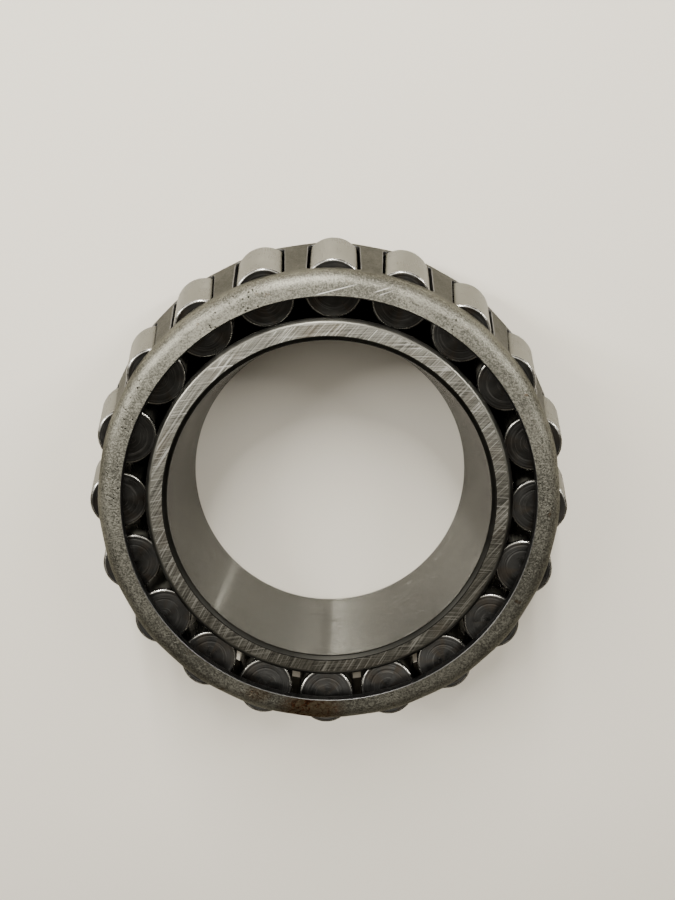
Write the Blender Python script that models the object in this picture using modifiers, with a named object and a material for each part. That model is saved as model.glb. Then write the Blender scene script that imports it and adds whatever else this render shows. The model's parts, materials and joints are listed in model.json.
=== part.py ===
"""Tapered roller bearing: an inner ring and a pressed steel cage with tapered rollers.

The bearing lies on the inner ring's large back face. The origin is the centre of that
face, +Z runs along the bearing's axis towards the small end, and roller_01 lies on +X.
Every raceway, roller and roller axis meets the bearing's axis at one common apex.
"""
import math

import bmesh
import bpy
from mathutils import Euler, Vector

MM = 0.001

# Driving dimensions of the ring
BORE_RADIUS = 76.2 * MM
RING_WIDTH = 74.6 * MM
FRONT_FACE_RADIUS = 84.4 * MM
SMALL_RIB_RADIUS = 86.4 * MM
LARGE_RIB_RADIUS = 105.0 * MM
BACK_FACE_RADIUS = 103.0 * MM
BACK_BORE_ROUND = 4.2 * MM
FRONT_BORE_CHAMFER = 1.6 * MM
FRONT_RIB_CHAMFER = 1.7 * MM
RIB_EDGE_CHAMFER = 1.2 * MM
BACK_EDGE_HEIGHT = 2.0 * MM
UNDERCUT_DEPTH = 0.6 * MM
UNDERCUT_LENGTH = 2.4 * MM

# Driving dimensions of the rollers
ROLLER_COUNT = 20
ROLLER_AXIS_ANGLE = math.radians(14.2)
ROLLER_HALF_ANGLE = math.radians(1.9)
ROLLER_MID_RADIUS = 105.5 * MM
ROLLER_MID_HEIGHT = 44.2 * MM
ROLLER_LENGTH = 54.0 * MM
SMALL_END_CHAMFER = 0.6 * MM
LARGE_END_CHAMFER = 1.2 * MM
RECESS_RADIUS = 6.5 * MM
RECESS_DEPTH = 0.8 * MM
RUNNING_GAP = 0.3 * MM

# Driving dimensions of the cage
WALL_THICKNESS = 3.3 * MM
FLANGE_THICKNESS = 4.0 * MM
CAGE_BELOW_ROLLERS = 3.5 * MM
FLANGE_TOP = 81.4 * MM
FLANGE_INNER_RADIUS = 95.2 * MM
OUTER_BEND_RADIUS = 7.6 * MM
INNER_BEND_RADIUS = 4.0 * MM
CAGE_BOTTOM = 15.4 * MM
WINDOW_END_GAP = 0.9 * MM
WINDOW_HALF_WIDTH_SMALL = 12.1 * MM
WINDOW_HALF_WIDTH_LARGE = 13.2 * MM
WINDOW_CORNER = 2.5 * MM

# Facets
RING_STEPS = 100
ROLLER_STEPS = 24
BEND_STEPS = 5
ROUND_STEPS = 4
CORNER_STEPS = 3
MERGE_DISTANCE = 0.00001

# Worked out from the driving dimensions
HALF_LENGTH = ROLLER_LENGTH / 2
APEX_DISTANCE = ROLLER_MID_RADIUS / math.sin(ROLLER_AXIS_ANGLE)
ENVELOPE_ANGLE = ROLLER_AXIS_ANGLE + ROLLER_HALF_ANGLE


def roller_radius(along):
    """Radius of a roller at a distance from its middle, counted towards its small end."""
    return (APEX_DISTANCE - along) * math.tan(ROLLER_HALF_ANGLE)


def from_roller(along, across):
    """Bearing radius and height of a point given along and outwards from a roller's axis."""
    radius = ROLLER_MID_RADIUS - along * math.sin(ROLLER_AXIS_ANGLE) + across * math.cos(ROLLER_AXIS_ANGLE)
    height = ROLLER_MID_HEIGHT + along * math.cos(ROLLER_AXIS_ANGLE) + across * math.sin(ROLLER_AXIS_ANGLE)
    return radius, height


def at_ring_radius(along, radius):
    """The point with a given bearing radius on the line that crosses a roller's axis squarely."""
    axis_radius = ROLLER_MID_RADIUS - along * math.sin(ROLLER_AXIS_ANGLE)
    return from_roller(along, (radius - axis_radius) / math.cos(ROLLER_AXIS_ANGLE))


def arc(centre, radius, start, end, steps):
    """Points on an arc from one angle to another, both ends included."""
    points = []
    for step in range(steps + 1):
        angle = start + (end - start) * step / steps
        points.append((centre[0] + radius * math.cos(angle), centre[1] + radius * math.sin(angle)))
    return points


def make_material(name, colour, roughness):
    material = bpy.data.materials.new(name)
    material.use_nodes = True
    shader = material.node_tree.nodes["Principled BSDF"]
    shader.inputs["Base Color"].default_value = (*colour, 1.0)
    shader.inputs["Roughness"].default_value = roughness
    shader.inputs["Metallic"].default_value = 1.0
    return material


def turned_mesh(name, profile, closed):
    """A mesh that holds only the profile's edges, drawn at +X for the Screw modifier."""
    edges = [(index, index + 1) for index in range(len(profile) - 1)]
    if closed:
        edges.append((len(profile) - 1, 0))
    mesh = bpy.data.meshes.new(name)
    mesh.from_pydata([(radius, 0.0, height) for radius, height in profile], edges, [])
    return mesh


def add_screw(piece, steps):
    screw = piece.modifiers.new("turn", "SCREW")
    screw.axis = "Z"
    screw.steps = steps
    screw.render_steps = steps
    screw.use_merge_vertices = True
    screw.merge_threshold = MERGE_DISTANCE
    screw.use_smooth_shade = True


def add_object(name, mesh, collection, parent=None):
    piece = bpy.data.objects.new(name, mesh)
    collection.objects.link(piece)
    piece.parent = parent
    return piece


def ring_profile():
    """The inner ring's section: down the ribs and the raceway, then back up the bore."""
    small_end = HALF_LENGTH
    large_end = -HALF_LENGTH
    raceway = -RUNNING_GAP
    groove = -RUNNING_GAP - UNDERCUT_DEPTH
    points = [
        (FRONT_FACE_RADIUS, RING_WIDTH),
        (SMALL_RIB_RADIUS, RING_WIDTH - FRONT_RIB_CHAMFER),
        at_ring_radius(small_end + RUNNING_GAP, SMALL_RIB_RADIUS),
    ]
    for along, offset in (
        (small_end + RUNNING_GAP, groove),
        (small_end - UNDERCUT_LENGTH + UNDERCUT_DEPTH, groove),
        (small_end - UNDERCUT_LENGTH, raceway),
        (large_end + UNDERCUT_LENGTH, raceway),
        (large_end + UNDERCUT_LENGTH - UNDERCUT_DEPTH, groove),
        (large_end - RUNNING_GAP - UNDERCUT_DEPTH, groove),
        (large_end - RUNNING_GAP, UNDERCUT_DEPTH),
    ):
        points.append(from_roller(along, offset - roller_radius(along)))
    guide_edge = at_ring_radius(large_end - RUNNING_GAP, LARGE_RIB_RADIUS - RIB_EDGE_CHAMFER)
    points += [
        guide_edge,
        (LARGE_RIB_RADIUS, guide_edge[1] - RIB_EDGE_CHAMFER),
        (LARGE_RIB_RADIUS, BACK_EDGE_HEIGHT),
        (BACK_FACE_RADIUS, 0.0),
    ]
    round_centre = (BORE_RADIUS + BACK_BORE_ROUND, BACK_BORE_ROUND)
    points += arc(round_centre, BACK_BORE_ROUND, -math.pi / 2, -math.pi, ROUND_STEPS)
    points += [
        (BORE_RADIUS, RING_WIDTH - FRONT_BORE_CHAMFER),
        (BORE_RADIUS + FRONT_BORE_CHAMFER, RING_WIDTH),
    ]
    return points


def roller_profile():
    """Half the section of a roller about its own axis, from the small end to the large end."""
    small_face = HALF_LENGTH
    large_face = -HALF_LENGTH
    return [
        (0.0, small_face),
        (roller_radius(small_face) - SMALL_END_CHAMFER, small_face),
        (roller_radius(small_face - SMALL_END_CHAMFER), small_face - SMALL_END_CHAMFER),
        (roller_radius(large_face + LARGE_END_CHAMFER), large_face + LARGE_END_CHAMFER),
        (roller_radius(large_face) - LARGE_END_CHAMFER, large_face),
        (RECESS_RADIUS, large_face),
        (RECESS_RADIUS - RECESS_DEPTH, large_face + RECESS_DEPTH),
        (0.0, large_face + RECESS_DEPTH),
    ]


def cage_cone_radius(height, depth):
    """Radius of the cage's cone at a height, at a depth under the rollers' outer envelope."""
    along = HALF_LENGTH
    top_radius, top_height = from_roller(along, roller_radius(along))
    drop = top_height - height
    return top_radius + drop * math.tan(ENVELOPE_ANGLE) - depth / math.cos(ENVELOPE_ANGLE)


def cage_bend(flange_height, bend_radius, depth):
    """The arc that joins a level flange to the cone, from the flange outwards and down."""
    centre_height = flange_height - bend_radius
    tangent_height = centre_height + bend_radius * math.sin(ENVELOPE_ANGLE)
    tangent_radius = cage_cone_radius(tangent_height, depth)
    centre = (tangent_radius - bend_radius * math.cos(ENVELOPE_ANGLE), centre_height)
    return arc(centre, bend_radius, math.pi / 2, ENVELOPE_ANGLE, BEND_STEPS)


def cage_profile():
    """The cage's section: out along the flange, round the bend, down the cone and back up inside."""
    outer_depth = CAGE_BELOW_ROLLERS
    inner_depth = CAGE_BELOW_ROLLERS + WALL_THICKNESS
    flange_underside = FLANGE_TOP - FLANGE_THICKNESS
    points = [(FLANGE_INNER_RADIUS, FLANGE_TOP)]
    points += cage_bend(FLANGE_TOP, OUTER_BEND_RADIUS, outer_depth)
    points += [
        (cage_cone_radius(CAGE_BOTTOM, outer_depth), CAGE_BOTTOM),
        (cage_cone_radius(CAGE_BOTTOM, inner_depth), CAGE_BOTTOM),
    ]
    points += reversed(cage_bend(flange_underside, INNER_BEND_RADIUS, inner_depth))
    points.append((FLANGE_INNER_RADIUS, flange_underside))
    return points


def runs_outwards(edge):
    """True for an edge of the window cutter that runs through the sheet, along local X."""
    step = edge.verts[1].co - edge.verts[0].co
    return abs(step.x) > abs(step.y) + abs(step.z)


def window_cutter_mesh():
    """A tapered block with rounded corners, drawn about a roller's axis, +X pointing outwards."""
    end = HALF_LENGTH + WINDOW_END_GAP
    inner_x = roller_radius(0.0) - CAGE_BELOW_ROLLERS - 2 * WALL_THICKNESS
    outer_x = roller_radius(0.0) + WALL_THICKNESS
    builder = bmesh.new()
    bmesh.ops.create_cube(builder, size=2.0)
    for vertex in builder.verts:
        half_width = WINDOW_HALF_WIDTH_SMALL if vertex.co.z > 0 else WINDOW_HALF_WIDTH_LARGE
        vertex.co.x = outer_x if vertex.co.x > 0 else inner_x
        vertex.co.y *= half_width
        vertex.co.z *= end
    bmesh.ops.bevel(
        builder,
        geom=[edge for edge in builder.edges if runs_outwards(edge)],
        offset=WINDOW_CORNER,
        segments=CORNER_STEPS,
        profile=0.5,
        affect="EDGES",
    )
    mesh = bpy.data.meshes.new("window_cutter")
    builder.to_mesh(mesh)
    builder.free()
    return mesh


def roller_place(index):
    """Location and rotation that lay a roller's local Z on its axis, small end upwards."""
    turn = math.tau * index / ROLLER_COUNT
    location = Vector((
        ROLLER_MID_RADIUS * math.cos(turn),
        ROLLER_MID_RADIUS * math.sin(turn),
        ROLLER_MID_HEIGHT,
    ))
    return location, Euler((0.0, -ROLLER_AXIS_ANGLE, turn))


def build_inner_ring(parts):
    mesh = turned_mesh("inner_ring", ring_profile(), closed=True)
    mesh.materials.append(make_material("ring_steel", (0.42, 0.40, 0.37), 0.28))
    piece = add_object("inner_ring", mesh, parts)
    add_screw(piece, RING_STEPS)


def build_cage(parts, cutters, pivot):
    mesh = turned_mesh("cage", cage_profile(), closed=True)
    mesh.materials.append(make_material("cage_steel", (0.36, 0.36, 0.33), 0.45))
    piece = add_object("cage", mesh, parts, pivot)
    add_screw(piece, RING_STEPS)
    cutter_mesh = window_cutter_mesh()
    for index in range(ROLLER_COUNT):
        cutter = add_object(f"window_cutter_{index + 1:02d}", cutter_mesh, cutters, pivot)
        cutter.location, cutter.rotation_euler = roller_place(index)
        cutter.hide_render = True
        cutter.display_type = "WIRE"
    windows = piece.modifiers.new("windows", "BOOLEAN")
    windows.operation = "DIFFERENCE"
    windows.solver = "EXACT"
    windows.operand_type = "COLLECTION"
    windows.collection = cutters


def build_rollers(parts, pivot):
    mesh = turned_mesh("roller", roller_profile(), closed=False)
    mesh.materials.append(make_material("roller_steel", (0.45, 0.43, 0.40), 0.22))
    for index in range(ROLLER_COUNT):
        piece = add_object(f"roller_{index + 1:02d}", mesh, parts, pivot)
        piece.location, piece.rotation_euler = roller_place(index)
        add_screw(piece, ROLLER_STEPS)


def new_collection(name):
    collection = bpy.data.collections.new(name)
    bpy.context.scene.collection.children.link(collection)
    return collection


def main():
    for old in list(bpy.data.objects):
        bpy.data.objects.remove(old)
    parts = new_collection("tapered_roller_bearing")
    cutters = new_collection("window_cutters")
    pivot = add_object("cage_pivot", None, parts)
    build_inner_ring(parts)
    build_cage(parts, cutters, pivot)
    build_rollers(parts, pivot)


main()
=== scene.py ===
"""The looks of the tapered roller bearing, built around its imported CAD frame.

The ring, the cage and every roller are modelled again with fine profiles, rounded edges,
machining marks and procedural steel, at the sizes that the frame gives.
"""

import json
import math

import bmesh
import bpy
import numpy as np
from mathutils import Matrix, Vector, noise


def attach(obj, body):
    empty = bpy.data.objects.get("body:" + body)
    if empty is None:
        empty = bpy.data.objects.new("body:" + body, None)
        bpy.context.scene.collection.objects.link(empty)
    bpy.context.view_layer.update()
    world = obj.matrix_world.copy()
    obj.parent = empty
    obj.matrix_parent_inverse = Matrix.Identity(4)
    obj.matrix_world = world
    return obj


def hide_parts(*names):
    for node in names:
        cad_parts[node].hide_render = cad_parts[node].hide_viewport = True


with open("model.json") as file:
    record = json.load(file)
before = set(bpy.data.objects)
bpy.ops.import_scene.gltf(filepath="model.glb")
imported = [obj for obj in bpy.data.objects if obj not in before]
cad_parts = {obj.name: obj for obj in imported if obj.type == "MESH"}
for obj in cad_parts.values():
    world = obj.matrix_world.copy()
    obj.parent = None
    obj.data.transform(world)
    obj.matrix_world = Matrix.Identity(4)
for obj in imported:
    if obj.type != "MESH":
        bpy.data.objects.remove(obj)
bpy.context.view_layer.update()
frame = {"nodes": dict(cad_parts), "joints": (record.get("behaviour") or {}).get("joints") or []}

MM = 0.001

# The photograph's camera, in the row's frame
CAMERA_PLACE = Vector((-0.0003, 0.0851, 0.3866))
CAMERA_DIRECTION = Vector((0.0110, -0.1846, -0.9828))
CAMERA_UP = Vector((-0.0172, 0.9827, -0.1850))
CAMERA_LENS = 27.6
CAMERA_SENSOR = 36.0

# A slightly warm white, for every softbox
SOFT_WHITE = (1.0, 0.965, 0.90)

# Fineness of the meshes
RING_STEPS = 480
ROLLER_STEPS = 96
SECTOR_STEPS = 24
FILLET_STEPS = 4
BACK_ROUND_STEPS = 12
CROWN_STEPS = 8
FLANGE_ROWS = 8
BEND_ROWS = 14
SIDE_STEPS = 40
CORNER_HALF_STEPS = 6
WINDOW_RINGS = 7
RING_LONGEST_FACE = 3.0 * MM
ROLLER_LONGEST_FACE = 4.0 * MM
MERGE_DISTANCE = 0.002 * MM
ON_AXIS = 1e-7
SHARP_ANGLE = math.radians(32)

# Details of the ring that the frame doesn't hold
BORE_EDGE_ROUND = 0.5 * MM
RIB_EDGE_ROUND = 0.7 * MM
SMALL_ROUND = 0.25 * MM
RUNNING_GAP = 0.3 * MM
UNDERCUT_DEPTH = 0.6 * MM
UNDERCUT_LENGTH = 2.4 * MM
FRONT_RIB_CHAMFER = 1.7 * MM
GUIDE_RIB_CHAMFER = 1.2 * MM
BACK_EDGE_HEIGHT = 2.0 * MM

# Details of the rollers
FACE_GROOVE_DEPTH = 0.05 * MM
FACE_GROOVE_WIDTH = 0.5 * MM
FACE_GROOVE_PLACES = (0.62, 0.83)
CROWN = 0.04 * MM
SMALL_END_ROUND = 1.05 * MM
LARGE_END_CHAMFER = 1.2 * MM
RECESS_RADIUS = 6.5 * MM
RECESS_DEPTH = 0.8 * MM
TURN_BETWEEN_ROLLERS = 2.399
SEED_BETWEEN_ROLLERS = 3.7

# Details of the cage
FLANGE_THICKNESS = 4.0 * MM
WALL_THICKNESS = 3.3 * MM
CAGE_BELOW_ROLLERS = 3.5 * MM
OUTER_BEND_RADIUS = 7.6 * MM
WINDOW_END_GAP = 0.9 * MM
WINDOW_HALF_WIDTH_SMALL = 12.1 * MM
WINDOW_HALF_WIDTH_LARGE = 13.2 * MM
WINDOW_CORNER = 2.5 * MM
SHEARED_EDGE_ROUND = 0.35 * MM
SHEARED_EDGE_ANGLE = math.radians(40)
SHEET_RIPPLE = 0.18 * MM
RIPPLES_PER_METRE = 34.0
RIPPLE_LOST_INSIDE = 0.6
FLAT_BETWEEN_WINDOWS = 0.45 * MM

# Marks on the cage: pits by compass angle and reach, scratches from point to point in
# millimetres, and rust by place and by its reach along X, Y and Z
PIT_CLUSTERS = ((112, 14 * MM), (122, 9 * MM), (150, 13 * MM), (157, 8 * MM), (2, 9 * MM), (58, 7 * MM))
LONG_SCRATCHES = (
    ((-8.0, 95.6), (10.5, 100.6)),
    ((17.5, 97.2), (25.0, 99.6)),
    ((19.5, 95.9), (26.0, 98.2)),
)
RUST_PLACE = (-7.0 * MM, -100.3 * MM)
RUST_REACH = (17.0 * MM, 10.0 * MM, 12.0 * MM)
SMALL_RUST_PLACE = (-33.0 * MM, -92.5 * MM)
SMALL_RUST_REACH = (7.0 * MM, 5.0 * MM, 6.0 * MM)

# The stage: each softbox by name, compass angle in degrees and power in watts
STRIPS = (("left_strip", 158, 14.0), ("middle_strip", 97, 22.0), ("right_strip", 32, 9.5))
STRIP_ELEVATION = 42
STRIP_DISTANCE = 1.35
STRIP_SIZE = (0.06, 0.8)
FILL_AZIMUTH = 106
FILL_ELEVATION = 76
FILL_DISTANCE = 1.5
FILL_SIZE = (1.3, 0.9)
FILL_POWER = 7.0
LIT_POINT = (0, 0, 0.04)
SURROUNDING_COLOUR = (1.0, 0.89, 0.71, 1.0)
SURROUNDING_STRENGTH = 0.16
FLOOR_SIZE = 6.0


# ---------------------------------------------------------------- what the frame says

# How close to the ring's faces its radii are read
NEAR_FACE = 0.1 * MM
NEAR_SMALL_RIB = 3.0 * MM


def node_points(node):
    """The vertices of a CAD node, in the row's frame."""
    mesh = frame["nodes"][node].data
    places = np.zeros(len(mesh.vertices) * 3)
    mesh.vertices.foreach_get("co", places)
    return places.reshape(-1, 3)


def about_axis(points, origin, direction):
    """Distances along an axis and away from it."""
    offset = points - np.array(origin)
    along = offset @ np.array(direction)
    away = np.linalg.norm(offset - along[:, None] * np.array(direction), axis=1)
    return along, away


def joint_of(child):
    return next(joint for joint in frame["joints"] if joint["child"] == child)


ROLLERS = sorted(name for name in frame["nodes"] if name.startswith("roller_"))
FIRST_JOINT = joint_of(ROLLERS[0])
ROLLER_CENTRE = Vector(FIRST_JOINT["pos_m"])
ROLLER_AXIS = Vector(FIRST_JOINT["axis"]).normalized()
AXIS_ANGLE = math.atan2(-ROLLER_AXIS.x, ROLLER_AXIS.z)
MID_RADIUS = ROLLER_CENTRE.x
MID_HEIGHT = ROLLER_CENTRE.z
ROLLER_ALONG, ROLLER_AWAY = about_axis(node_points(ROLLERS[0]), ROLLER_CENTRE, ROLLER_AXIS)
HALF_LENGTH = float(ROLLER_ALONG.max())
APEX_DISTANCE = MID_RADIUS / math.sin(AXIS_ANGLE)
LARGEST = int(ROLLER_AWAY.argmax())
HALF_ANGLE = math.atan(ROLLER_AWAY[LARGEST] / (APEX_DISTANCE - ROLLER_ALONG[LARGEST]))
ENVELOPE_ANGLE = AXIS_ANGLE + HALF_ANGLE

RING_HEIGHTS, RING_RADII = about_axis(node_points("inner_ring"), (0, 0, 0), (0, 0, 1))
RING_WIDTH = float(RING_HEIGHTS.max())
BORE_RADIUS = float(RING_RADII.min())
LARGE_RIB_RADIUS = float(RING_RADII.max())
FRONT_RADII = RING_RADII[RING_HEIGHTS > RING_WIDTH - NEAR_FACE]
BACK_RADII = RING_RADII[RING_HEIGHTS < NEAR_FACE]
FRONT_FACE_RADIUS = float(FRONT_RADII.max())
FRONT_BORE_RADIUS = float(FRONT_RADII.min())
BACK_FACE_RADIUS = float(BACK_RADII.max())
BACK_BORE_RADIUS = float(BACK_RADII.min())
SMALL_RIB_RADIUS = float(RING_RADII[RING_HEIGHTS > RING_WIDTH - NEAR_SMALL_RIB].max())

CAGE_HEIGHTS, CAGE_RADII = about_axis(node_points("cage"), (0, 0, 0), (0, 0, 1))
FLANGE_TOP = float(CAGE_HEIGHTS.max())
FLANGE_INNER_RADIUS = float(CAGE_RADII.min())
PIT_RADIUS = FLANGE_INNER_RADIUS + 3 * MM
CAGE_BOTTOM = float(CAGE_HEIGHTS.min())
CAGE_OUTER_RADIUS = float(CAGE_RADII.max())


def roller_radius(along):
    return (APEX_DISTANCE - along) * math.tan(HALF_ANGLE)


def from_roller(along, across):
    """Bearing radius and height of a point given along and outwards from a roller's axis."""
    radius = MID_RADIUS - along * math.sin(AXIS_ANGLE) + across * math.cos(AXIS_ANGLE)
    height = MID_HEIGHT + along * math.cos(AXIS_ANGLE) + across * math.sin(AXIS_ANGLE)
    return radius, height


def at_ring_radius(along, radius):
    """The point with a given bearing radius on the line that crosses a roller's axis squarely."""
    axis_radius = MID_RADIUS - along * math.sin(AXIS_ANGLE)
    return from_roller(along, (radius - axis_radius) / math.cos(AXIS_ANGLE))


# ---------------------------------------------------------------- mesh helpers

def filleted(corners, closed):
    """An outline with each corner (x, y, fillet, finish) replaced by a curve of that size.

    Returns the points and, for the stretch after each point, the finish of the corner
    that the stretch starts from.
    """
    points = []
    finishes = []
    count = len(corners)
    for index, (x, y, fillet, finish) in enumerate(corners):
        here = Vector((x, y))
        inside = closed or 0 < index < count - 1
        if fillet <= 0.0 or not inside:
            points.append(here)
            finishes.append(finish)
            continue
        before = Vector(corners[index - 1][:2])
        after = Vector(corners[(index + 1) % count][:2])
        start = here + (before - here).normalized() * min(fillet, (before - here).length * 0.45)
        end = here + (after - here).normalized() * min(fillet, (after - here).length * 0.45)
        for step in range(FILLET_STEPS + 1):
            t = step / FILLET_STEPS
            points.append(start * (1 - t) ** 2 + here * 2 * t * (1 - t) + end * t ** 2)
            finishes.append(finish)
    return points, finishes


def refine(points, finishes, longest, closed):
    """Splits long stretches, so that a lathe's quads stay fairly even."""
    fine_points = []
    fine_finishes = []
    last = len(points) if closed else len(points) - 1
    for index in range(last):
        start = points[index]
        end = points[(index + 1) % len(points)]
        pieces = max(1, math.ceil((end - start).length / longest))
        for piece in range(pieces):
            fine_points.append(start.lerp(end, piece / pieces))
            fine_finishes.append(finishes[index])
    if not closed:
        fine_points.append(points[-1])
        fine_finishes.append(finishes[-1])
    return fine_points, fine_finishes


def lathe(name, points, finishes, steps, closed):
    """Turns an outline of (radius, height) about Z. An open outline starts and ends on the axis."""
    rows = []
    places = []
    for radius, height in points:
        if radius < ON_AXIS:
            rows.append([len(places)] * steps)
            places.append((0.0, 0.0, height))
            continue
        rows.append(list(range(len(places), len(places) + steps)))
        for step in range(steps):
            angle = math.tau * step / steps
            places.append((radius * math.cos(angle), radius * math.sin(angle), height))
    faces = []
    slots = []
    last = len(rows) if closed else len(rows) - 1
    for index in range(last):
        upper = rows[index]
        lower = rows[(index + 1) % len(rows)]
        for step in range(steps):
            after = (step + 1) % steps
            corners = [upper[step], lower[step], lower[after], upper[after]]
            faces.append(list(dict.fromkeys(corners)))
            slots.append(finishes[index])
    mesh = bpy.data.meshes.new(name)
    mesh.from_pydata(places, [], faces)
    mesh.polygons.foreach_set("material_index", slots)
    mesh.shade_smooth()
    mesh.set_sharp_from_angle(angle=SHARP_ANGLE)
    return mesh


def show(name, mesh, materials, body, node):
    """Adds a piece that rides on a body and stands for a CAD node."""
    for material in materials:
        mesh.materials.append(material)
    piece = bpy.data.objects.new(name, mesh)
    bpy.context.scene.collection.objects.link(piece)
    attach(piece, body)
    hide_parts(node)
    return piece


# ---------------------------------------------------------------- node helpers

# The turn of a stretched highlight, as a share of a full turn, and the rays sent out to find the painted
# shade in a gap
QUARTER_TURN = 0.25
PAINTED_SHADE_RAYS = 8


class Graph:
    """A material's node tree, with short calls for the nodes used here.

    edge is how bright the steel stays at grazing angles, from 0 to 1.
    """

    def __init__(self, name, metallic, roughness, edge=1.0, anisotropic=0.0):
        self.material = bpy.data.materials.new(name)
        self.material.use_nodes = True
        self.tree = self.material.node_tree
        self.shader = self.tree.nodes["Principled BSDF"]
        self.shader.inputs["Metallic"].default_value = metallic
        self.shader.inputs["Roughness"].default_value = roughness
        self.shader.inputs["Specular Tint"].default_value = (edge, edge, edge, 1.0)
        self.shader.inputs["Anisotropic"].default_value = anisotropic

    def node(self, kind, settings=None, **inputs):
        node = self.tree.nodes.new(kind)
        for key, value in (settings or {}).items():
            setattr(node, key, value)
        for key, value in inputs.items():
            self.feed(node.inputs[int(key[1:]) if key[0] == "_" else key.replace("_", " ")], value)
        return node

    def feed(self, socket, value):
        if isinstance(value, bpy.types.NodeSocket):
            self.tree.links.new(value, socket)
        else:
            socket.default_value = value

    def math(self, operation, first, second=0.0, clamp=False):
        settings = {"operation": operation, "use_clamp": clamp}
        return self.node("ShaderNodeMath", settings, _0=first, _1=second).outputs[0]

    def times(self, first, second):
        return self.math("MULTIPLY", first, second)

    def plus(self, first, second):
        return self.math("ADD", first, second)

    def vector_math(self, operation, first, second=(0, 0, 0)):
        return self.node("ShaderNodeVectorMath", {"operation": operation}, _0=first, _1=second)

    def coords(self):
        return self.node("ShaderNodeTexCoord").outputs["Object"]

    def attribute(self, name):
        return self.node("ShaderNodeAttribute", {"attribute_name": name})

    def split(self, vector):
        return self.node("ShaderNodeSeparateXYZ", _0=vector).outputs

    def join(self, x, y, z=0.0):
        return self.node("ShaderNodeCombineXYZ", _0=x, _1=y, _2=z).outputs[0]

    def noise(self, vector, scale, detail=2.0, roughness=0.5, distortion=0.0):
        node = self.node(
            "ShaderNodeTexNoise",
            Vector=vector,
            Scale=scale,
            Detail=detail,
            Roughness=roughness,
            Distortion=distortion,
        )
        return node.outputs["Fac"]

    def spots(self, vector, scale):
        return self.node("ShaderNodeTexVoronoi", Vector=vector, Scale=scale).outputs["Distance"]

    def span(self, value, low, high, to_low=0.0, to_high=1.0):
        """Maps a range of a value to another, held at its ends."""
        node = self.node(
            "ShaderNodeMapRange",
            {"clamp": True},
            _0=value,
            _1=low,
            _2=high,
            _3=to_low,
            _4=to_high,
        )
        return node.outputs[0]

    def mix(self, factor, first, second):
        node = self.node("ShaderNodeMix", {"data_type": "RGBA"})
        self.feed(node.inputs[0], factor)
        self.feed(node.inputs[6], first)
        self.feed(node.inputs[7], second)
        return node.outputs[2]

    def polar(self, vector):
        """Radius from the Z axis, angle about it, and height."""
        x, y, z = self.split(vector)
        radius = self.math("SQRT", self.plus(self.times(x, x), self.times(y, y)))
        angle = self.math("ARCTAN2", y, x)
        return radius, angle, z

    def bump(self, height, distance, strength=1.0):
        node = self.node("ShaderNodeBump", Height=height, Distance=distance, Strength=strength)
        return node.outputs[0]

    def stretch_along_axis(self):
        """Draws highlights out along the Z axis, as fine lines round it do."""
        tangent = self.node("ShaderNodeTangent", {"direction_type": "RADIAL", "axis": "Z"}).outputs[0]
        self.shader.inputs["Anisotropic Rotation"].default_value = QUARTER_TURN
        self.feed(self.shader.inputs["Tangent"], tangent)

    def painted_gap_shade(self, reach, shut, open_enough):
        """Painted shade: 0 deep in a narrow gap, where shade falls, and 1 on an open surface."""
        node = self.node("ShaderNodeAmbientOcclusion", {"samples": PAINTED_SHADE_RAYS}, Distance=reach)
        return self.span(node.outputs["AO"], shut, open_enough)

    def finish(self, colour=None, roughness=None, normal=None):
        for name, value in (("Base Color", colour), ("Roughness", roughness), ("Normal", normal)):
            if value is not None:
                self.feed(self.shader.inputs[name], value)
        return self.material


def steel(level, warmth=1.0):
    """A steel colour of a given lightness. More warmth takes more blue out of it."""
    return (level, level * (1 - 0.015 * warmth), level * (1 - 0.13 * warmth), 1.0)


# ---------------------------------------------------------------- materials

def arcs_about(graph, place, centre, pitch, seed):
    """Grinding lines: arcs about a centre far outside the face."""
    x, y, _ = graph.split(place)
    across = graph.math("SUBTRACT", x, centre[0])
    up = graph.math("SUBTRACT", y, centre[1])
    squared = graph.plus(graph.times(across, across), graph.times(up, up))
    distance = graph.math("SQRT", squared)
    angle = graph.math("ARCTAN2", up, across)
    lines = graph.join(graph.math("DIVIDE", distance, pitch), graph.times(angle, 13.0), seed)
    return graph.noise(lines, 1.0, 3.0, 0.7)


def ground_face():
    """The ring's flat faces: ground across in two directions, with brighter single scratches."""
    graph = Graph("ground_face", 1.0, 0.36)
    place = graph.coords()
    first = arcs_about(graph, place, (0.42, -0.30), 0.0008, 1.0)
    second = arcs_about(graph, place, (0.05, -0.60), 0.0007, 7.0)
    broad = graph.noise(place, 32.0, 3.0)
    weave = graph.plus(graph.times(first, 0.55), graph.times(second, 0.45))
    scratches = graph.math("MAXIMUM", graph.span(first, 0.58, 0.65), graph.span(second, 0.60, 0.67))
    stain = graph.span(graph.noise(place, 55.0, 4.0, 0.6), 0.52, 0.78)
    colour = graph.mix(graph.span(weave, 0.42, 0.58), steel(0.10), steel(0.33))
    colour = graph.mix(graph.times(scratches, 0.8), colour, steel(0.66, 0.5))
    colour = graph.mix(graph.times(stain, 0.4), colour, (0.16, 0.125, 0.085, 1.0))
    roughness = graph.span(graph.plus(broad, graph.times(weave, 0.5)), 0.5, 1.2, 0.32, 0.46)
    normal = graph.bump(weave, 0.00016, 0.8)
    return graph.finish(colour, roughness, normal)


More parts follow.
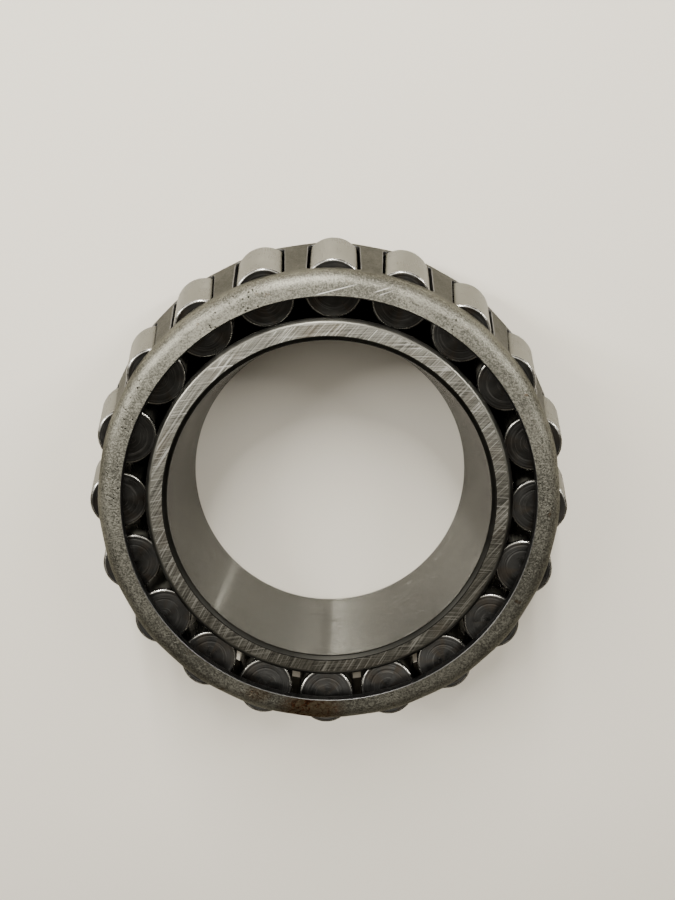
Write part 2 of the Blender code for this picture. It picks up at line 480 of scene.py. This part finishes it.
def ground_bore():
    """The bore: ground round its axis, so that light draws out along it."""
    graph = Graph("ground_bore", 1.0, 0.2, anisotropic=0.9)
    place = graph.coords()
    _, angle, height = graph.polar(place)
    lines = graph.noise(graph.join(graph.times(height, 5000.0), graph.times(angle, 2.5)), 1.0, 3.0, 0.7)
    bands = graph.noise(graph.join(graph.times(height, 130.0), graph.times(angle, 1.3)), 1.0, 2.0)
    cloud = graph.noise(place, 26.0, 3.0)
    tone = graph.plus(graph.times(lines, 0.4), graph.times(cloud, 0.6))
    colour = graph.mix(graph.span(tone, 0.34, 0.68), steel(0.060), steel(0.094))
    roughness = graph.span(bands, 0.3, 0.7, 0.18, 0.24)
    graph.stretch_along_axis()
    return graph.finish(colour, roughness, graph.bump(lines, 0.0006))


def turned_steel():
    """Ribs, chamfers and undercuts: turned, darker and a little oily."""
    graph = Graph("turned_steel", 1.0, 0.34)
    place = graph.coords()
    radius, angle, height = graph.polar(place)
    lines = graph.noise(
        graph.join(
            graph.times(height, 2600.0),
            graph.times(radius, 2600.0),
            graph.times(angle, 1.2),
        ),
        1.0,
        3.0,
    )
    cloud = graph.noise(place, 60.0, 4.0, 0.6)
    colour = graph.mix(cloud, steel(0.11), steel(0.22))
    roughness = graph.span(cloud, 0.3, 0.7, 0.28, 0.45)
    return graph.finish(colour, roughness, graph.bump(lines, 0.00003, 0.7))


def bore_edge_painted_dark():
    """The bore's small-end edge, painted near black: a painted dark reflection of its chamfer."""
    graph = Graph("bore_edge_painted_dark", 1.0, 0.42)
    place = graph.coords()
    cloud = graph.noise(place, 90.0, 3.0)
    colour = graph.mix(cloud, steel(0.012), steel(0.03))
    return graph.finish(colour, graph.span(cloud, 0.3, 0.7, 0.35, 0.5), graph.bump(cloud, 0.00004, 0.4))


def raceway_painted_dark():
    """The conical raceway: honed to a fine satin, and painted near black with its reflection held down,
    as painted shade between the rollers.
    """
    graph = Graph("raceway_painted_dark", 1.0, 0.2, edge=0.08)
    place = graph.coords()
    _, angle, height = graph.polar(place)
    lines = graph.noise(graph.join(graph.times(height, 4200.0), graph.times(angle, 3.0)), 1.0, 2.0)
    cloud = graph.noise(place, 45.0, 3.0)
    # Painted shade: near black, standing in for the shade inside the bearing
    colour = graph.mix(cloud, steel(0.006), steel(0.014))
    return graph.finish(colour, graph.span(lines, 0.3, 0.7, 0.28, 0.4), graph.bump(lines, 0.00001, 0.5))


def roller_place(graph):
    """A roller's own coordinates, and a number that makes its marks differ from the next one's."""
    local = graph.attribute("roller_place").outputs["Vector"]
    seed = graph.attribute("roller_seed").outputs["Fac"]
    return local, seed


def roller_flank():
    """A roller's outside: fine ground rings, faint marks along it, and painted shade where it lies in the
    slots beside it.
    """
    graph = Graph("roller_flank", 1.0, 0.26, edge=0.75, anisotropic=0.85)
    graph.stretch_along_axis()
    local, seed = roller_place(graph)
    _, angle, along = graph.polar(local)
    ring_lines = graph.join(graph.times(along, 3800.0), graph.times(angle, 1.6), seed)
    rings = graph.noise(ring_lines, 1.0, 3.0, 0.6)
    marks = graph.noise(graph.join(graph.times(along, 45.0), graph.times(angle, 26.0), seed), 1.0, 3.0)
    cloud = graph.noise(graph.join(graph.times(along, 60.0), graph.times(angle, 1.1), seed), 1.0, 3.0)
    tone = graph.plus(graph.times(marks, 0.45), graph.times(cloud, 0.55))
    colour = graph.mix(graph.span(tone, 0.34, 0.66), steel(0.16, 1.3), steel(0.25, 1.3))
    scuffs = graph.span(marks, 0.64, 0.74)
    colour = graph.mix(graph.times(scuffs, 0.5), colour, steel(0.12, 1.6))
    # Painted shade: where the roller lies deep in a narrow gap, its colour goes near black
    unshaded = graph.painted_gap_shade(5 * MM, 0.62, 0.90)
    colour = graph.mix(unshaded, steel(0.004), colour)
    # Painted shade on the reflection too: the edge tint goes dark in the same gaps
    edge_tint = graph.shader.inputs["Specular Tint"]
    graph.feed(edge_tint, graph.mix(unshaded, steel(0.02), tuple(edge_tint.default_value)))
    roughness = graph.span(tone, 0.35, 0.65, 0.24, 0.36)
    return graph.finish(colour, roughness, graph.bump(rings, 0.000012, 0.6))


def roller_face():
    """A roller's end: turned rings, dark with oil, with brown tints."""
    graph = Graph("roller_face", 1.0, 0.34)
    local, seed = roller_place(graph)
    radius, angle, _ = graph.polar(local)
    ring_lines = graph.join(graph.times(radius, 1500.0), graph.times(angle, 0.5), seed)
    rings = graph.noise(ring_lines, 1.0, 3.0, 0.6)
    cloud = graph.noise(graph.join(graph.times(radius, 130.0), graph.times(angle, 0.9), seed), 1.0, 3.0)
    broad = graph.noise(graph.join(graph.times(radius, 60.0), angle, seed), 1.4, 2.0)
    tint = graph.span(broad, 0.48, 0.72)
    colour = graph.mix(cloud, steel(0.03, 0.3), steel(0.065, 0.3))
    colour = graph.mix(graph.span(rings, 0.56, 0.74), colour, steel(0.125, 0.4))
    colour = graph.mix(graph.times(tint, 0.3), colour, (0.075, 0.05, 0.026, 1.0))
    roughness = graph.span(cloud, 0.3, 0.7, 0.26, 0.44)
    return graph.finish(colour, roughness, graph.bump(rings, 0.00003, 0.6))


def roller_edge():
    """The rounded edge between a roller's outside and its end: lighter than the outside, a painted
    highlight for the light that its rounding catches, with streaks in its tone.
    """
    graph = Graph("roller_edge", 1.0, 0.24)
    local, seed = roller_place(graph)
    _, angle, along = graph.polar(local)
    streaks = graph.noise(graph.join(graph.times(angle, 5.0), graph.times(along, 200.0), seed), 1.0, 3.0)
    colour = graph.mix(streaks, steel(0.22, 0.5), steel(0.44, 0.5))
    return graph.finish(colour, graph.span(streaks, 0.3, 0.7, 0.18, 0.34), graph.bump(streaks, 0.00002, 0.4))


def near(graph, place, centre, reach):
    """1 at a point, falling to 0 at a distance."""
    distance = graph.vector_math("DISTANCE", place, centre).outputs["Value"]
    return graph.span(distance, 0.4 * reach, reach, 1.0, 0.0)


def scratch_line(graph, place, start, end):
    """1 on a thin straight scratch between two points of the flange, given in millimetres."""
    first = Vector((*start, 0)) * MM
    along = Vector((*end, 0)) * MM - first
    offset = graph.vector_math("SUBTRACT", place, first).outputs[0]
    forward = along.normalized()
    sideways = Vector((-forward.y, forward.x, 0))
    run = graph.vector_math("DOT_PRODUCT", offset, forward).outputs["Value"]
    off = graph.vector_math("DOT_PRODUCT", offset, sideways).outputs["Value"]
    thin = graph.span(graph.math("ABSOLUTE", off), 0.08 * MM, 0.28 * MM, 0.9, 0.0)
    started = graph.span(run, 0.0, 2 * MM)
    not_ended = graph.span(run, along.length - 6 * MM, along.length, 1.0, 0.0)
    return graph.times(thin, graph.times(started, not_ended))


def add_rust(graph, place, colour, centre, reach, amount):
    """Mixes a brown stain with broken dark flecks about a point of the flange into a colour."""
    offset = graph.vector_math("SUBTRACT", place, (*centre, FLANGE_TOP)).outputs[0]
    x, y, z = graph.split(offset)
    scaled = graph.join(
        graph.math("DIVIDE", x, reach[0]),
        graph.math("DIVIDE", y, reach[1]),
        graph.math("DIVIDE", z, reach[2]),
    )
    distance = graph.vector_math("LENGTH", scaled).outputs["Value"]
    inside = graph.span(distance, 0.55, 1.1, 1.0, 0.0)
    stain = graph.times(inside, 0.75 * amount)
    colour = graph.mix(stain, colour, (0.10, 0.066, 0.030, 1.0))
    broken = graph.span(graph.noise(place, 300.0, 4.0, 0.7, 1.4), 0.49, 0.56)
    dots = graph.span(graph.noise(place, 900.0, 3.0, 0.6), 0.38, 0.62)
    brown = graph.mix(dots, (0.008, 0.004, 0.002, 1.0), (0.060, 0.022, 0.010, 1.0))
    patch = graph.times(graph.times(inside, broken), amount)
    return graph.mix(patch, colour, brown), patch


def cage_sheet():
    """The cage's outside: a speckled blasted rim over a plainer wall, with pits, rust and scratches."""
    graph = Graph("cage_sheet", 1.0, 0.46, edge=0.35)
    place = graph.coords()
    rim = graph.span(graph.split(place)[2], FLANGE_TOP - 10 * MM, FLANGE_TOP - 4 * MM)
    grain = graph.noise(place, 1250.0, 2.0, 0.8)
    cloud = graph.noise(place, 28.0, 4.0, 0.55)
    drawn = graph.noise(graph.vector_math("MULTIPLY", place, (1, 1, 0.15)).outputs[0], 420.0, 3.0)
    tone = graph.plus(graph.times(grain, 0.65), graph.times(cloud, 0.35))
    speckle = graph.mix(graph.span(tone, 0.42, 0.58), steel(0.100, 1.3), steel(0.270, 1.3))
    wall = graph.span(graph.plus(drawn, cloud), 0.75, 1.25)
    plain = graph.mix(wall, steel(0.10, 1.2), steel(0.165, 1.2))
    colour = graph.mix(rim, plain, speckle)
    clusters = graph.span(graph.noise(place, 38.0, 2.0), 0.58, 0.70)
    for azimuth, reach in PIT_CLUSTERS:
        turn = math.radians(azimuth)
        centre = Vector((math.cos(turn), math.sin(turn), 0)) * PIT_RADIUS
        centre.z = FLANGE_TOP
        clusters = graph.math("MAXIMUM", clusters, near(graph, place, centre, reach))
    pits = graph.times(graph.span(graph.spots(place, 480.0), 0.13, 0.24, 1.0, 0.0), clusters)
    colour = graph.mix(pits, colour, steel(0.02, 2.0))
    brown = graph.times(graph.span(graph.noise(place, 190.0, 3.0, 0.6), 0.67, 0.74), 0.7)
    colour = graph.mix(brown, colour, (0.075, 0.05, 0.03, 1.0))
    colour, patch = add_rust(graph, place, colour, RUST_PLACE, RUST_REACH, 1.0)
    colour, _ = add_rust(graph, place, colour, SMALL_RUST_PLACE, SMALL_RUST_REACH, 0.6)
    for start, end in LONG_SCRATCHES:
        colour = graph.mix(scratch_line(graph, place, start, end), colour, steel(0.8, 0.5))
    roughness = graph.span(grain, 0.35, 0.65, 0.38, 0.54)
    roughness = graph.math("ADD", roughness, graph.times(patch, 0.3), clamp=True)
    height = graph.math("SUBTRACT", graph.times(grain, rim), graph.times(pits, 1.5))
    return graph.finish(colour, roughness, graph.bump(height, 0.00017, 0.8))


def cage_cut():
    """The cage's sheared edges: a little torn, and darker than the flange."""
    graph = Graph("cage_cut", 1.0, 0.38)
    place = graph.coords()
    tear = graph.noise(place, 900.0, 3.0, 0.65)
    cloud = graph.noise(place, 80.0, 3.0)
    tone = graph.plus(graph.times(tear, 0.5), graph.times(cloud, 0.5))
    colour = graph.mix(tone, steel(0.05, 0.0), steel(0.14, 0.0))
    return graph.finish(colour, graph.span(tear, 0.3, 0.7, 0.3, 0.5), graph.bump(tear, 0.00005, 0.6))


def cage_inside():
    """The cage's inside: drawn sheet, left dark and oily."""
    graph = Graph("cage_inside", 1.0, 0.42)
    place = graph.coords()
    grain = graph.noise(place, 1400.0, 2.0, 0.6)
    cloud = graph.noise(place, 40.0, 3.0)
    tone = graph.plus(graph.times(grain, 0.4), graph.times(cloud, 0.6))
    colour = graph.mix(tone, steel(0.02), steel(0.05))
    return graph.finish(colour, graph.span(cloud, 0.3, 0.7, 0.34, 0.5), graph.bump(grain, 0.00004, 0.5))


# ---------------------------------------------------------------- inner ring

FACE, BORE, TURNED, EDGE, RACEWAY = range(5)


def ring_corners():
    """The ring's section as corners, each with the finish of the stretch that follows it."""
    small_end = HALF_LENGTH
    large_end = -HALF_LENGTH
    raceway = -RUNNING_GAP
    undercut = raceway - UNDERCUT_DEPTH
    corners = [
        (FRONT_FACE_RADIUS, RING_WIDTH, RIB_EDGE_ROUND, TURNED),
        (SMALL_RIB_RADIUS, RING_WIDTH - FRONT_RIB_CHAMFER, RIB_EDGE_ROUND, TURNED),
        (*at_ring_radius(small_end + RUNNING_GAP, SMALL_RIB_RADIUS), SMALL_ROUND, RACEWAY),
    ]
    for along, offset, round_off, finish in (
        (small_end + RUNNING_GAP, undercut, SMALL_ROUND, RACEWAY),
        (small_end - UNDERCUT_LENGTH + UNDERCUT_DEPTH, undercut, 2 * SMALL_ROUND, RACEWAY),
        (small_end - UNDERCUT_LENGTH, raceway, 2 * SMALL_ROUND, RACEWAY),
        (large_end + UNDERCUT_LENGTH, raceway, 2 * SMALL_ROUND, RACEWAY),
        (large_end + UNDERCUT_LENGTH - UNDERCUT_DEPTH, undercut, 2 * SMALL_ROUND, RACEWAY),
        (large_end - RUNNING_GAP - UNDERCUT_DEPTH, undercut, SMALL_ROUND, RACEWAY),
        (large_end - RUNNING_GAP, UNDERCUT_DEPTH, SMALL_ROUND, RACEWAY),
    ):
        corners.append((*from_roller(along, offset - roller_radius(along)), round_off, finish))
    guide_edge = at_ring_radius(large_end - RUNNING_GAP, LARGE_RIB_RADIUS - GUIDE_RIB_CHAMFER)
    corners += [
        (*guide_edge, 2 * SMALL_ROUND, TURNED),
        (LARGE_RIB_RADIUS, guide_edge[1] - GUIDE_RIB_CHAMFER, 2 * SMALL_ROUND, TURNED),
        (LARGE_RIB_RADIUS, BACK_EDGE_HEIGHT, RIB_EDGE_ROUND, TURNED),
        (BACK_FACE_RADIUS, 0.0, RIB_EDGE_ROUND, FACE),
    ]
    round_size = BACK_BORE_RADIUS - BORE_RADIUS
    for step in range(BACK_ROUND_STEPS + 1):
        angle = -math.pi / 2 - math.pi / 2 * step / BACK_ROUND_STEPS
        radius = BACK_BORE_RADIUS + round_size * math.cos(angle)
        height = round_size + round_size * math.sin(angle)
        corners.append((radius, height, 0.0, TURNED if step < BACK_ROUND_STEPS else BORE))
    chamfer = FRONT_BORE_RADIUS - BORE_RADIUS
    corners += [
        (BORE_RADIUS, RING_WIDTH - chamfer, BORE_EDGE_ROUND, EDGE),
        (FRONT_BORE_RADIUS, RING_WIDTH, SMALL_ROUND, EDGE),
        (FRONT_BORE_RADIUS + 2 * SMALL_ROUND, RING_WIDTH, 0.0, FACE),
    ]
    return corners


def build_ring():
    points, finishes = filleted(ring_corners(), closed=True)
    points, finishes = refine(points, finishes, RING_LONGEST_FACE, closed=True)
    mesh = lathe("ring_body", points, finishes, RING_STEPS, closed=True)
    materials = [ground_face(), ground_bore(), turned_steel(), bore_edge_painted_dark(), raceway_painted_dark()]
    show("ring_body", mesh, materials, "inner_ring", "inner_ring")


# ---------------------------------------------------------------- rollers

FLANK, END, ROLLER_EDGE = range(3)


def roller_corners():
    """Half a roller's section from the small end to the large end, about its own axis."""
    small = HALF_LENGTH
    large = -HALF_LENGTH
    small_radius = roller_radius(small)
    large_radius = roller_radius(large)
    corners = [(0.0, small, 0.0, END)]
    for share in FACE_GROOVE_PLACES:
        middle = small_radius * share
        corners += [
            (middle - FACE_GROOVE_WIDTH, small, 0.15 * MM, END),
            (middle, small - FACE_GROOVE_DEPTH, 0.2 * MM, END),
            (middle + FACE_GROOVE_WIDTH, small, 0.15 * MM, END),
        ]
    corners.append((small_radius - SMALL_END_ROUND, small, 0.0, ROLLER_EDGE))
    for step in range(1, FILLET_STEPS * 2):
        angle = math.pi / 2 * step / (FILLET_STEPS * 2)
        across = small_radius - SMALL_END_ROUND * (1 - math.sin(angle))
        corners.append((across, small - SMALL_END_ROUND * (1 - math.cos(angle)), 0.0, ROLLER_EDGE))
    corners.append((roller_radius(small - SMALL_END_ROUND), small - SMALL_END_ROUND, 0.0, FLANK))
    for step in range(1, CROWN_STEPS):
        along = small - 2 * small * step / CROWN_STEPS
        relief = CROWN * (along / small) ** 4
        corners.append((roller_radius(along) - relief, along, 0.0, FLANK))
    corners += [
        (roller_radius(large + LARGE_END_CHAMFER), large + LARGE_END_CHAMFER, 0.5 * MM, ROLLER_EDGE),
        (large_radius - LARGE_END_CHAMFER, large, 0.4 * MM, END),
        (RECESS_RADIUS, large, 0.25 * MM, END),
        (RECESS_RADIUS - RECESS_DEPTH, large + RECESS_DEPTH, 0.3 * MM, END),
        (0.0, large + RECESS_DEPTH, 0.0, END),
    ]
    return corners


def build_rollers():
    points, finishes = filleted(roller_corners(), closed=False)
    points, finishes = refine(points, finishes, ROLLER_LONGEST_FACE, closed=False)
    materials = [roller_flank(), roller_face(), roller_edge()]
    for index, node in enumerate(ROLLERS):
        joint = joint_of(node)
        axis = Vector(joint["axis"]).normalized()
        centre = Vector(joint["pos_m"])
        sideways = Vector((0, 0, 1)).cross(centre).normalized()
        outwards = sideways.cross(axis)
        turn = Matrix((outwards, sideways, axis)).transposed().to_4x4()
        mesh = lathe(f"{node}_body", points, finishes, ROLLER_STEPS, closed=False)
        local = mesh.attributes.new("roller_place", "FLOAT_VECTOR", "POINT")
        places = np.zeros(len(mesh.vertices) * 3, np.float32)
        mesh.vertices.foreach_get("co", places)
        spun = Matrix.Rotation(index * TURN_BETWEEN_ROLLERS, 3, "Z")
        turned = places.reshape(-1, 3) @ np.array(spun.transposed(), np.float32)
        local.data.foreach_set("vector", turned.ravel())
        seed = mesh.attributes.new("roller_seed", "FLOAT", "POINT")
        seed_value = SEED_BETWEEN_ROLLERS * index
        seed.data.foreach_set("value", np.full(len(mesh.vertices), seed_value, np.float32))
        mesh.transform(Matrix.Translation(centre) @ turn)
        show(f"{node}_body", mesh, materials, node, node)


# ---------------------------------------------------------------- cage

SHEET_OUT, SHEET_CUT, SHEET_IN = range(3)


class CageShape:
    """The cage's outer line: flange, bend and cone, by distance along it."""

    def __init__(self):
        bend_height = FLANGE_TOP - OUTER_BEND_RADIUS
        tangent_height = bend_height + OUTER_BEND_RADIUS * math.sin(ENVELOPE_ANGLE)
        drop = tangent_height - CAGE_BOTTOM
        self.tangent = Vector((CAGE_OUTER_RADIUS - drop * math.tan(ENVELOPE_ANGLE), tangent_height))
        self.centre = Vector((self.tangent.x - OUTER_BEND_RADIUS * math.cos(ENVELOPE_ANGLE), bend_height))
        self.flange_length = self.centre.x - FLANGE_INNER_RADIUS
        self.bend_length = OUTER_BEND_RADIUS * (math.pi / 2 - ENVELOPE_ANGLE)
        self.cone_length = drop / math.cos(ENVELOPE_ANGLE)
        self.cone_start = self.flange_length + self.bend_length
        self.end = self.cone_start + self.cone_length

    def outer(self, s):
        """Radius and height on the outer surface, and the direction out of it."""
        if s <= self.flange_length:
            return Vector((FLANGE_INNER_RADIUS + s, FLANGE_TOP)), Vector((0.0, 1.0))
        if s <= self.cone_start:
            angle = math.pi / 2 - (s - self.flange_length) / OUTER_BEND_RADIUS
            direction = Vector((math.cos(angle), math.sin(angle)))
            return self.centre + direction * OUTER_BEND_RADIUS, direction
        down = Vector((math.sin(ENVELOPE_ANGLE), -math.cos(ENVELOPE_ANGLE)))
        direction = Vector((math.cos(ENVELOPE_ANGLE), math.sin(ENVELOPE_ANGLE)))
        return self.tangent + down * (s - self.cone_start), direction

    def thickness(self, s):
        share = min(max((s - self.flange_length) / self.bend_length, 0.0), 1.0)
        return FLANGE_THICKNESS + (WALL_THICKNESS - FLANGE_THICKNESS) * share

    def place(self, angle, s, depth_share, middle):
        """A point of the sheet: depth_share 0 is outside and 1 inside."""
        point, direction = self.outer(s)
        sector = math.tau / len(ROLLERS)
        off_window = 1 - math.cos(math.tau * (angle - middle) / sector)
        bent = min(max((s - self.flange_length) / self.bend_length, 0.0), 1.0)
        settle = FLAT_BETWEEN_WINDOWS * 0.5 * off_window * bent
        seat = Vector((point.x * math.cos(angle), point.x * math.sin(angle), point.y))
        ripple = SHEET_RIPPLE * (0.5 + 0.5 * noise.noise(seat * RIPPLES_PER_METRE))
        depth = self.thickness(s) * depth_share + ripple * (1 - RIPPLE_LOST_INSIDE * depth_share) + settle
        section = point - direction * depth
        return Vector((section.x * math.cos(angle), section.x * math.sin(angle), section.y))


CAGE = CageShape()


def window_half_width(along):
    share = (HALF_LENGTH - along) / (2 * HALF_LENGTH)
    return WINDOW_HALF_WIDTH_SMALL + (WINDOW_HALF_WIDTH_LARGE - WINDOW_HALF_WIDTH_SMALL) * share


def window_outline():
    """The window's edge as (angle off its middle, distance along the cage), in order from the
    middle of its first corner, with as many points a side as the sector's border has."""
    edge = HALF_LENGTH + WINDOW_END_GAP
    top_height = from_roller(edge, roller_radius(HALF_LENGTH) - CAGE_BELOW_ROLLERS)[1]
    bottom_height = from_roller(-edge, roller_radius(-HALF_LENGTH) - CAGE_BELOW_ROLLERS)[1]
    top = CAGE.cone_start + (CAGE.tangent.y - top_height) / math.cos(ENVELOPE_ANGLE)
    bottom = CAGE.cone_start + (CAGE.tangent.y - bottom_height) / math.cos(ENVELOPE_ANGLE)
    wide_top = window_half_width(edge)
    wide_bottom = window_half_width(-edge)
    corners = [
        (Vector((-wide_top, top)), SECTOR_STEPS),
        (Vector((wide_top, top)), SIDE_STEPS),
        (Vector((wide_bottom, bottom)), SECTOR_STEPS),
        (Vector((-wide_bottom, bottom)), SIDE_STEPS),
    ]
    outline = []
    for index, (corner, steps) in enumerate(corners):
        after = corners[(index + 1) % 4][0]
        before = corners[index - 1][0]
        beyond = corners[(index + 2) % 4][0]
        start_arc = rounded_corner(before, corner, after)
        end_arc = rounded_corner(corner, after, beyond)
        straight = steps - 2 * CORNER_HALF_STEPS
        side = start_arc[CORNER_HALF_STEPS:]
        side += [start_arc[-1].lerp(end_arc[0], step / straight) for step in range(1, straight)]
        side += end_arc[:CORNER_HALF_STEPS]
        outline += side
    return [(math.asin(point.x / CAGE.outer(point.y)[0].x), point.y) for point in outline]


def rounded_corner(before, corner, after):
    """Points on a corner's quarter arc, from the side that comes in to the side that goes out."""
    to_before = (before - corner).normalized()
    to_after = (after - corner).normalized()
    centre = corner + (to_before + to_after) * WINDOW_CORNER
    steps = 2 * CORNER_HALF_STEPS
    points = []
    for step in range(steps + 1):
        angle = math.pi / 2 * step / steps
        across = to_after * WINDOW_CORNER * math.cos(angle)
        points.append(centre - across - to_before * WINDOW_CORNER * math.sin(angle))
    return points


def sector_border():
    """The border of the cone's share of one sector, point for point with window_outline()."""
    half = math.pi / len(ROLLERS)
    top = CAGE.cone_start
    bottom = CAGE.end
    border = [(-half + 2 * half * step / SECTOR_STEPS, top) for step in range(SECTOR_STEPS)]
    border += [(half, top + (bottom - top) * step / SIDE_STEPS) for step in range(SIDE_STEPS)]
    border += [(half - 2 * half * step / SECTOR_STEPS, bottom) for step in range(SECTOR_STEPS)]
    border += [(-half, bottom + (top - bottom) * step / SIDE_STEPS) for step in range(SIDE_STEPS)]
    return border


def add_sheet_grid(builder, rows):
    """Faces both sides of the sheet over a grid of (angle, distance) rows. Returns its vertices."""
    layers = []
    for depth_share in (0.0, 1.0):
        grid = []
        for row in rows:
            places = [CAGE.place(angle, s, depth_share, middle) for angle, s, middle in row]
            grid.append([builder.verts.new(place) for place in places])
        layers.append(grid)
    for depth_share, grid in enumerate(layers):
        for upper, lower in zip(grid, grid[1:]):
            for index in range(len(upper) - 1):
                quad = [upper[index], lower[index], lower[index + 1], upper[index + 1]]
                if depth_share:
                    quad.reverse()
                face = builder.faces.new(quad)
                face.material_index = SHEET_IN if depth_share else SHEET_OUT
    return layers


def add_wall(builder, outer, inner):
    """The cut edge between the sheet's two sides."""
    for index in range(len(outer) - 1):
        face = builder.faces.new([outer[index], outer[index + 1], inner[index + 1], inner[index]])
        face.material_index = SHEET_CUT


def add_sector(builder, middle, border, outline):
    """The stretch of the cage round one window, from its flange to its large end."""
    half = math.pi / len(ROLLERS)
    stops = [CAGE.flange_length * row / FLANGE_ROWS for row in range(FLANGE_ROWS)]
    stops += [CAGE.flange_length + CAGE.bend_length * row / BEND_ROWS for row in range(BEND_ROWS + 1)]
    rows = []
    for s in stops:
        angles = [middle - half + 2 * half * step / SECTOR_STEPS for step in range(SECTOR_STEPS + 1)]
        rows.append([(angle, s, middle) for angle in angles])
    outer, inner = add_sheet_grid(builder, rows)
    add_wall(builder, outer[0], inner[0])
    rings = []
    for ring in range(WINDOW_RINGS + 1):
        share = ring / WINDOW_RINGS
        row = []
        for (a0, s0), (a1, s1) in zip(border + border[:1], outline + outline[:1]):
            row.append((middle + a0 + (a1 - a0) * share, s0 + (s1 - s0) * share, middle))
        rings.append(row)
    outer, inner = add_sheet_grid(builder, rings)
    add_wall(builder, inner[-1], outer[-1])
    bottom_start = SECTOR_STEPS + SIDE_STEPS
    bottom = slice(bottom_start, bottom_start + SECTOR_STEPS + 1)
    add_wall(builder, outer[0][bottom], inner[0][bottom])


def build_cage():
    builder = bmesh.new()
    border = sector_border()
    outline = window_outline()
    for index in range(len(ROLLERS)):
        add_sector(builder, math.tau * index / len(ROLLERS), border, outline)
    bmesh.ops.remove_doubles(builder, verts=builder.verts, dist=MERGE_DISTANCE)
    bmesh.ops.recalc_face_normals(builder, faces=builder.faces)
    mesh = bpy.data.meshes.new("cage_body")
    builder.to_mesh(mesh)
    builder.free()
    mesh.shade_smooth()
    mesh.set_sharp_from_angle(angle=SHARP_ANGLE)
    materials = [cage_sheet(), cage_cut(), cage_inside()]
    piece = show("cage_body", mesh, materials, "cage", "cage")
    bevel = piece.modifiers.new("sheared_edges", "BEVEL")
    bevel.width = SHEARED_EDGE_ROUND
    bevel.segments = 2
    bevel.limit_method = "ANGLE"
    bevel.angle_limit = SHEARED_EDGE_ANGLE
    bevel.material = SHEET_CUT


# ---------------------------------------------------------------- stage

def build_floor():
    bpy.ops.mesh.primitive_plane_add(size=FLOOR_SIZE, location=(0, 0, 0))
    floor = bpy.context.object
    floor.name = "floor"
    graph = Graph("floor_paint", 0.0, 0.75)
    place = graph.coords()
    cloud = graph.noise(place, 3.0, 3.0)
    colour = graph.mix(cloud, (0.80, 0.76, 0.67, 1.0), (0.86, 0.82, 0.73, 1.0))
    normal = graph.bump(graph.noise(place, 260.0, 3.0), 0.0002, 0.3)
    floor.data.materials.append(graph.finish(colour, normal=normal))


def add_softbox(name, place, size, power):
    data = bpy.data.lights.new(name, "AREA")
    data.shape = "RECTANGLE"
    data.size, data.size_y = size
    data.energy = power
    data.color = SOFT_WHITE
    light = bpy.data.objects.new(name, data)
    light.location = place
    light.rotation_mode = "QUATERNION"
    light.rotation_quaternion = (Vector(LIT_POINT) - Vector(place)).to_track_quat("-Z", "Y")
    bpy.context.scene.collection.objects.link(light)


def build_lights():
    """Three tall softboxes round the far side, a broad soft one, and a low warm surrounding."""
    for name, azimuth, power in STRIPS:
        add_softbox(name, around(azimuth, STRIP_ELEVATION, STRIP_DISTANCE), STRIP_SIZE, power)
    add_softbox("broad_fill", around(FILL_AZIMUTH, FILL_ELEVATION, FILL_DISTANCE), FILL_SIZE, FILL_POWER)
    world = bpy.data.worlds.new("studio")
    world.use_nodes = True
    background = world.node_tree.nodes["Background"]
    background.inputs["Color"].default_value = SURROUNDING_COLOUR
    background.inputs["Strength"].default_value = SURROUNDING_STRENGTH
    bpy.context.scene.world = world


def around(azimuth, elevation, distance):
    """A place about the bearing, by compass angle from +X and height angle, in degrees."""
    flat = distance * math.cos(math.radians(elevation))
    turn = math.radians(azimuth)
    return flat * math.cos(turn), flat * math.sin(turn), distance * math.sin(math.radians(elevation))


def build_camera():
    data = bpy.data.cameras.new("camera")
    data.lens = CAMERA_LENS
    data.sensor_width = CAMERA_SENSOR
    camera = bpy.data.objects.new("camera", data)
    backwards = -CAMERA_DIRECTION.normalized()
    right = CAMERA_UP.cross(backwards).normalized()
    up = backwards.cross(right)
    turn = Matrix((right, up, backwards)).transposed().to_4x4()
    camera.matrix_world = Matrix.Translation(CAMERA_PLACE) @ turn
    bpy.context.scene.collection.objects.link(camera)
    bpy.context.scene.camera = camera


build_camera()
build_ring()
build_rollers()
build_cage()
build_floor()
build_lights()
